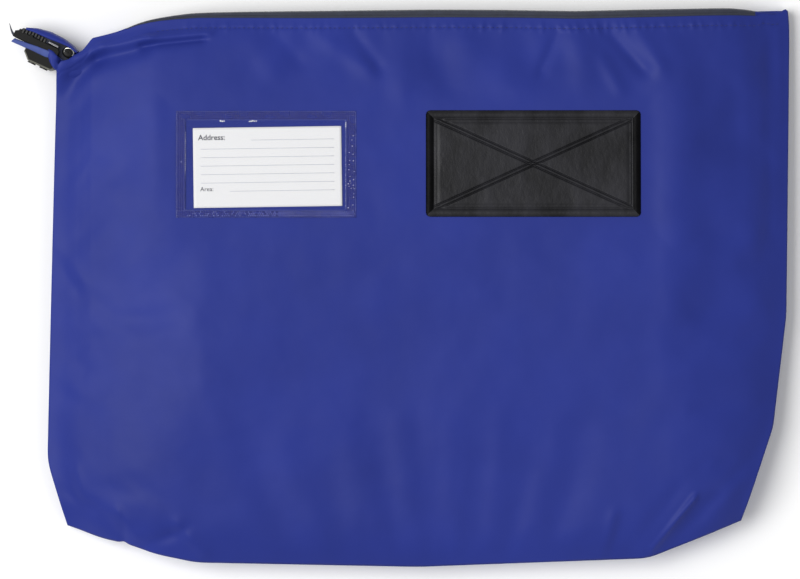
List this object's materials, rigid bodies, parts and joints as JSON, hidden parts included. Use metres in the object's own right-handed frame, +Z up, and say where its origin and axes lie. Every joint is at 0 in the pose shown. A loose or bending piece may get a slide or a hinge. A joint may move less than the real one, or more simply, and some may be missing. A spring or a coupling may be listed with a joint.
{
  "type": "cash deposit bag",
  "caption": "Flat gusseted pouch of coated fabric with a zip along the top, a clear address window, a black vinyl patch with pressed ribs and a riveted tail lock at one corner.",
  "frame": {"origin": "centre of the back panel's resting face", "axes": "+X along the zip away from the tail lock, +Y from the base to the zip, +Z up out of the front panel"},
  "size_m": [0.5385, 0.386, 0.0452],
  "materials": {
    "blue_fabric": "satin",
    "zip_tape": "matte",
    "zip_teeth": "satin",
    "zip_metal": "satin",
    "pull_metal": "satin",
    "lock_plastic": "satin",
    "rivet_steel": "polished",
    "clear_film": "gloss",
    "black_vinyl": "satin",
    "card": "matte"
  },
  "bodies": {
    "bag": {"back_panel": "blue_fabric", "base_gusset": "blue_fabric", "left_gusset": "blue_fabric", "right_gusset": "blue_fabric", "back_hem": "blue_fabric", "zip_tape_back": "zip_tape", "zip_teeth_back": "zip_teeth", "zip_end_stop": "zip_metal", "top_stop_back": "zip_metal", "tail_strip": "blue_fabric", "lock_base": "lock_plastic", "lock_cover": "lock_plastic", "lock_rivets": "rivet_steel", "tail_tab": "blue_fabric", "root_rivet": "rivet_steel"},
    "front": {"front_panel": "blue_fabric", "front_hem": "blue_fabric", "zip_tape_front": "zip_tape", "zip_teeth_front": "zip_teeth", "top_stop_front": "zip_metal", "window_film": "clear_film", "black_patch": "black_vinyl"},
    "slider": {"slider_body": "zip_metal", "slider_bridge": "zip_metal"},
    "pull": {"pull_tab": "pull_metal"},
    "card": {"address_card": "card"}
  },
  "joints": [
    {"name": "mouth_open", "type": "hinge", "parent": "bag", "child": "front", "pos_m": [0, -0.193, 0.034], "axis": [1, 0, 0], "range_deg": [0, 9], "deforming": ["left_gusset", "right_gusset", "zip_teeth_front", "zip_tape_front"]},
    {"name": "slider_travel", "type": "slide", "parent": "bag", "child": "slider", "axis": [1, 0, 0], "range_m": [0, 0.344]},
    {"name": "pull_swing", "type": "hinge", "parent": "slider", "child": "pull", "pos_m": [-0.1525, 0.1892, 0.013], "axis": [0, 0, 1], "range_deg": [0, 170]},
    {"name": "card_slide", "type": "slide", "parent": "front", "child": "card", "axis": [-1, 0, 0], "range_m": [0, 0.115]}
  ],
  "couplings": [
    {"joint": "slider_travel", "follows": "mouth_open", "m_per_rad": 2.1895}
  ]
}
